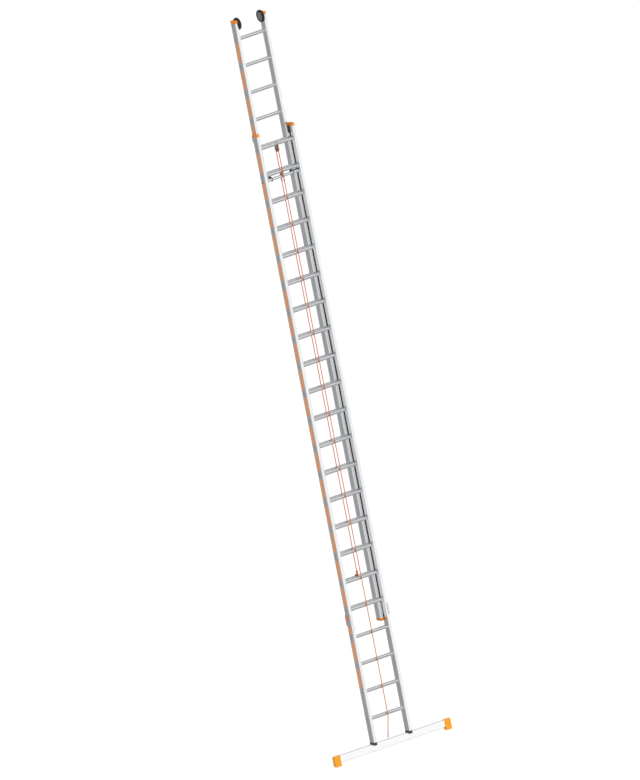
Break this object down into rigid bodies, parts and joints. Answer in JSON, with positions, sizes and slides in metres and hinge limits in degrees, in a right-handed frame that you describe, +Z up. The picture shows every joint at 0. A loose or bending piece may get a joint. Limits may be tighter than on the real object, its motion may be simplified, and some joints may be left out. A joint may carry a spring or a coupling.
{
  "type": "rope extension ladder",
  "caption": "Leaning extension ladder: a fly section with wall rollers slides on a base section with a wide crossbar foot, hoisted by a rope over a pulley and held by a catch.",
  "frame": {"origin": "on the floor on the ladder's middle plane, midway in depth between the soles' front edge and the rollers' rear", "axes": "+Z up, +X along the rungs to the climber's right, +Y towards the wall; the ladder leans back at 71 degrees"},
  "size_m": [1.4, 2.566, 7.1465],
  "materials": {
    "stile_aluminium": "extruded, mill finish",
    "rung_aluminium": "extruded, grooved tread",
    "bar_aluminium": "extruded",
    "black_plastic": "moulded",
    "orange_plastic": "moulded",
    "brown_plastic": "moulded",
    "guide_sheet": "folded sheet",
    "steel": "zinc plated",
    "catch_aluminium": "drawn tube",
    "pulley_steel": "brown stove coat",
    "sheave_plastic": "moulded",
    "guide_plastic": "moulded",
    "tyre_rubber": "moulded",
    "hub_plastic": "moulded",
    "rope": "braided"
  },
  "bodies": {
    "base_section": {"base_stile_left": "stile_aluminium", "base_stile_right": "stile_aluminium", "base_rungs": "rung_aluminium", "base_rung_catch": "rung_aluminium", "base_rung_pulley": "rung_aluminium", "base_top_cap_left": "orange_plastic", "base_top_cap_right": "orange_plastic", "base_shoe_left": "brown_plastic", "base_shoe_right": "brown_plastic", "stile_anchor_left": "steel", "stile_anchor_right": "steel", "crossbar": "bar_aluminium", "foot_cap_left": "orange_plastic", "foot_cap_right": "orange_plastic", "crossbar_bolts": "steel", "top_guide_left": "guide_sheet", "top_guide_right": "guide_sheet", "top_guide_pad_left": "black_plastic", "top_guide_pad_right": "black_plastic", "top_guide_rivets": "steel", "pulley_band": "steel", "pulley_cheek_left": "pulley_steel", "pulley_cheek_right": "pulley_steel", "pulley_axle": "steel", "catch_shaft": "steel", "catch_spacers": "catch_aluminium", "catch_nuts": "steel", "rope_guide": "guide_plastic", "rope_free_strand": "rope", "rope_sheave_turn": "rope", "rope_hoist_strand": "rope"},
    "fly_section": {"fly_stile_left": "stile_aluminium", "fly_stile_right": "stile_aluminium", "fly_rungs": "rung_aluminium", "fly_rung_hoist": "rung_aluminium", "fly_top_cap_left": "orange_plastic", "fly_top_cap_right": "orange_plastic", "fly_bottom_cap_left": "orange_plastic", "fly_bottom_cap_right": "orange_plastic", "bottom_guide_left": "guide_sheet", "bottom_guide_right": "guide_sheet", "bottom_guide_pads_left": "black_plastic", "bottom_guide_pads_right": "black_plastic", "bottom_guide_rivets": "steel", "roller_bolt_left": "steel", "roller_bolt_right": "steel", "roller_washers": "steel", "roller_nuts": "steel", "rope_hitch": "rope"},
    "wall_roller_left": {"roller_tyre_left": "tyre_rubber", "roller_hub_left": "hub_plastic"},
    "wall_roller_right": {"roller_tyre_right": "tyre_rubber", "roller_hub_right": "hub_plastic"},
    "sheave": {"pulley_sheave": "sheave_plastic"},
    "catch": {"catch_tube": "catch_aluminium", "catch_hook_left": "steel", "catch_hook_right": "steel", "catch_pad_left": "black_plastic", "catch_pad_right": "black_plastic"}
  },
  "joints": [
    {"name": "fly_slide", "type": "slide", "parent": "base_section", "child": "fly_section", "axis": [0, 0.3231, 0.9464], "range_m": [-1.12, 3.36], "deforming": ["rope_hoist_strand"]},
    {"name": "sheave_turn", "type": "hinge", "parent": "base_section", "child": "sheave", "pos_m": [0, 0.73598, 5.84833], "axis": [1, 0, 0], "continuous": true},
    {"name": "catch_swing", "type": "hinge", "parent": "base_section", "child": "catch", "pos_m": [0, 0.64646, 5.58514], "axis": [1, 0, 0], "range_deg": [-47, 0]},
    {"name": "roller_left_turn", "type": "hinge", "parent": "fly_section", "child": "wall_roller_left", "pos_m": [-0.1395, 1.22053, 7.08405], "axis": [1, 0, 0], "continuous": true},
    {"name": "roller_right_turn", "type": "hinge", "parent": "fly_section", "child": "wall_roller_right", "pos_m": [0.1395, 1.22053, 7.08405], "axis": [1, 0, 0], "continuous": true}
  ],
  "couplings": [
    {"joint": "sheave_turn", "follows": "fly_slide", "rad_per_m": 43.478}
  ]
}
